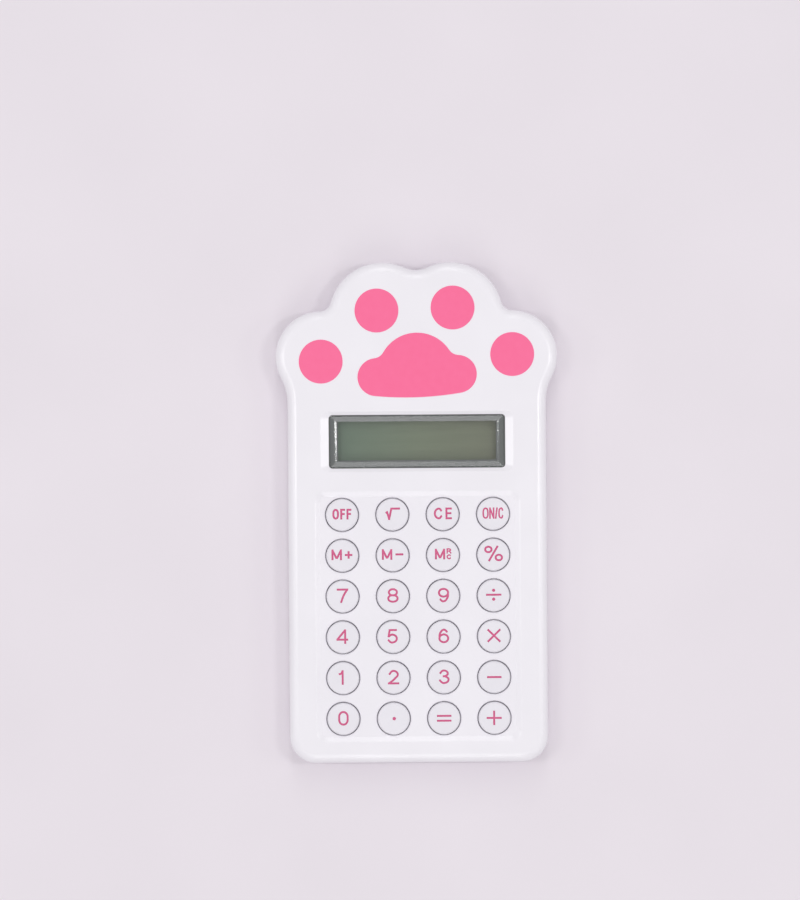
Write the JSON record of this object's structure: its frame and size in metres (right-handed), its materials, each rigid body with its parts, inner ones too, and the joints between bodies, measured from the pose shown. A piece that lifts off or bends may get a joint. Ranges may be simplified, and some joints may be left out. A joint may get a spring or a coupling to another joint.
{
  "type": "pocket calculator",
  "caption": "White paw-shaped pocket calculator with a pink paw print, a framed display, round sprung keys and a sliding battery door; lies flat on its back.",
  "frame": {"origin": "middle of the back face, on the surface that the calculator lies on", "axes": "+X to the right of the keypad, +Y from the keypad to the toes, +Z out of the face"},
  "size_m": [0.0666, 0.118, 0.0104],
  "materials": {
    "white_case": "moulded white plastic, semi-gloss",
    "white_key": "moulded white plastic, fine satin",
    "pink_ink": "pad-printed pink ink",
    "bezel_grey": "dark grey plastic, polished",
    "clear_lens": "clear acrylic",
    "display_film": "grey-green polariser film",
    "display_glass": "display glass",
    "zebra_rubber": "striped conductive silicone",
    "black_foam": "adhesive foam",
    "board_laminate": "paper laminate with varnish",
    "black_epoxy": "cured epoxy",
    "component_body": "ceramic chip part",
    "carbon_ink": "printed carbon",
    "mat_rubber": "translucent silicone",
    "carbon_rubber": "conductive silicone",
    "cell_steel": "nickel-plated steel",
    "spring_metal": "nickel-plated strip",
    "screw_steel": "zinc-plated steel"
  },
  "bodies": {
    "calculator": {"front_case": "white_case", "back_case": "white_case", "paw_print": "pink_ink", "display_bezel": "bezel_grey", "display_lens": "clear_lens", "lcd_front_polariser": "display_film", "lcd_front_glass": "display_glass", "lcd_rear_glass": "display_glass", "lcd_reflector": "display_film", "zebra_strip": "zebra_rubber", "lcd_foam_strip": "black_foam", "circuit_board": "board_laminate", "chip_blob": "black_epoxy", "supply_capacitor": "component_body", "clock_resistor": "component_body", "key_contacts": "carbon_ink", "key_mat": "mat_rubber", "contact_pills": "carbon_rubber", "button_cell": "cell_steel", "positive_contact": "spring_metal", "negative_contact": "spring_metal", "case_screws": "screw_steel", "board_screws": "screw_steel"},
    "key_off": {"key_off": "white_key"},
    "key_root": {"key_root": "white_key"},
    "key_ce": {"key_ce": "white_key"},
    "key_on": {"key_on": "white_key"},
    "key_m_plus": {"key_m_plus": "white_key"},
    "key_m_minus": {"key_m_minus": "white_key"},
    "key_m_recall": {"key_m_recall": "white_key"},
    "key_percent": {"key_percent": "white_key"},
    "key_7": {"key_7": "white_key"},
    "key_8": {"key_8": "white_key"},
    "key_9": {"key_9": "white_key"},
    "key_divide": {"key_divide": "white_key"},
    "key_4": {"key_4": "white_key"},
    "key_5": {"key_5": "white_key"},
    "key_6": {"key_6": "white_key"},
    "key_multiply": {"key_multiply": "white_key"},
    "key_1": {"key_1": "white_key"},
    "key_2": {"key_2": "white_key"},
    "key_3": {"key_3": "white_key"},
    "key_minus": {"key_minus": "white_key"},
    "key_0": {"key_0": "white_key"},
    "key_point": {"key_point": "white_key"},
    "key_equals": {"key_equals": "white_key"},
    "key_plus": {"key_plus": "white_key"},
    "battery_door": {"battery_door": "white_case"}
  },
  "joints": [
    {"name": "key_off_press", "type": "slide", "parent": "calculator", "child": "key_off", "axis": [0, 0, -1], "range_m": [0, 0.0009], "stiffness_N_per_m": 500, "deforming": ["key_mat", "contact_pills"]},
    {"name": "key_root_press", "type": "slide", "parent": "calculator", "child": "key_root", "axis": [0, 0, -1], "range_m": [0, 0.0009], "stiffness_N_per_m": 500, "deforming": ["key_mat", "contact_pills"]},
    {"name": "key_ce_press", "type": "slide", "parent": "calculator", "child": "key_ce", "axis": [0, 0, -1], "range_m": [0, 0.0009], "stiffness_N_per_m": 500, "deforming": ["key_mat", "contact_pills"]},
    {"name": "key_on_press", "type": "slide", "parent": "calculator", "child": "key_on", "axis": [0, 0, -1], "range_m": [0, 0.0009], "stiffness_N_per_m": 500, "deforming": ["key_mat", "contact_pills"]},
    {"name": "key_m_plus_press", "type": "slide", "parent": "calculator", "child": "key_m_plus", "axis": [0, 0, -1], "range_m": [0, 0.0009], "stiffness_N_per_m": 500, "deforming": ["key_mat", "contact_pills"]},
    {"name": "key_m_minus_press", "type": "slide", "parent": "calculator", "child": "key_m_minus", "axis": [0, 0, -1], "range_m": [0, 0.0009], "stiffness_N_per_m": 500, "deforming": ["key_mat", "contact_pills"]},
    {"name": "key_m_recall_press", "type": "slide", "parent": "calculator", "child": "key_m_recall", "axis": [0, 0, -1], "range_m": [0, 0.0009], "stiffness_N_per_m": 500, "deforming": ["key_mat", "contact_pills"]},
    {"name": "key_percent_press", "type": "slide", "parent": "calculator", "child": "key_percent", "axis": [0, 0, -1], "range_m": [0, 0.0009], "stiffness_N_per_m": 500, "deforming": ["key_mat", "contact_pills"]},
    {"name": "key_7_press", "type": "slide", "parent": "calculator", "child": "key_7", "axis": [0, 0, -1], "range_m": [0, 0.0009], "stiffness_N_per_m": 500, "deforming": ["key_mat", "contact_pills"]},
    {"name": "key_8_press", "type": "slide", "parent": "calculator", "child": "key_8", "axis": [0, 0, -1], "range_m": [0, 0.0009], "stiffness_N_per_m": 500, "deforming": ["key_mat", "contact_pills"]},
    {"name": "key_9_press", "type": "slide", "parent": "calculator", "child": "key_9", "axis": [0, 0, -1], "range_m": [0, 0.0009], "stiffness_N_per_m": 500, "deforming": ["key_mat", "contact_pills"]},
    {"name": "key_divide_press", "type": "slide", "parent": "calculator", "child": "key_divide", "axis": [0, 0, -1], "range_m": [0, 0.0009], "stiffness_N_per_m": 500, "deforming": ["key_mat", "contact_pills"]},
    {"name": "key_4_press", "type": "slide", "parent": "calculator", "child": "key_4", "axis": [0, 0, -1], "range_m": [0, 0.0009], "stiffness_N_per_m": 500, "deforming": ["key_mat", "contact_pills"]},
    {"name": "key_5_press", "type": "slide", "parent": "calculator", "child": "key_5", "axis": [0, 0, -1], "range_m": [0, 0.0009], "stiffness_N_per_m": 500, "deforming": ["key_mat", "contact_pills"]},
    {"name": "key_6_press", "type": "slide", "parent": "calculator", "child": "key_6", "axis": [0, 0, -1], "range_m": [0, 0.0009], "stiffness_N_per_m": 500, "deforming": ["key_mat", "contact_pills"]},
    {"name": "key_multiply_press", "type": "slide", "parent": "calculator", "child": "key_multiply", "axis": [0, 0, -1], "range_m": [0, 0.0009], "stiffness_N_per_m": 500, "deforming": ["key_mat", "contact_pills"]},
    {"name": "key_1_press", "type": "slide", "parent": "calculator", "child": "key_1", "axis": [0, 0, -1], "range_m": [0, 0.0009], "stiffness_N_per_m": 500, "deforming": ["key_mat", "contact_pills"]},
    {"name": "key_2_press", "type": "slide", "parent": "calculator", "child": "key_2", "axis": [0, 0, -1], "range_m": [0, 0.0009], "stiffness_N_per_m": 500, "deforming": ["key_mat", "contact_pills"]},
    {"name": "key_3_press", "type": "slide", "parent": "calculator", "child": "key_3", "axis": [0, 0, -1], "range_m": [0, 0.0009], "stiffness_N_per_m": 500, "deforming": ["key_mat", "contact_pills"]},
    {"name": "key_minus_press", "type": "slide", "parent": "calculator", "child": "key_minus", "axis": [0, 0, -1], "range_m": [0, 0.0009], "stiffness_N_per_m": 500, "deforming": ["key_mat", "contact_pills"]},
    {"name": "key_0_press", "type": "slide", "parent": "calculator", "child": "key_0", "axis": [0, 0, -1], "range_m": [0, 0.0009], "stiffness_N_per_m": 500, "deforming": ["key_mat", "contact_pills"]},
    {"name": "key_point_press", "type": "slide", "parent": "calculator", "child": "key_point", "axis": [0, 0, -1], "range_m": [0, 0.0009], "stiffness_N_per_m": 500, "deforming": ["key_mat", "contact_pills"]},
    {"name": "key_equals_press", "type": "slide", "parent": "calculator", "child": "key_equals", "axis": [0, 0, -1], "range_m": [0, 0.0009], "stiffness_N_per_m": 500, "deforming": ["key_mat", "contact_pills"]},
    {"name": "key_plus_press", "type": "slide", "parent": "calculator", "child": "key_plus", "axis": [0, 0, -1], "range_m": [0, 0.0009], "stiffness_N_per_m": 500, "deforming": ["key_mat", "contact_pills"]},
    {"name": "battery_door_slide", "type": "slide", "parent": "calculator", "child": "battery_door", "axis": [0, -1, 0], "range_m": [0, 0.004]}
  ]
}
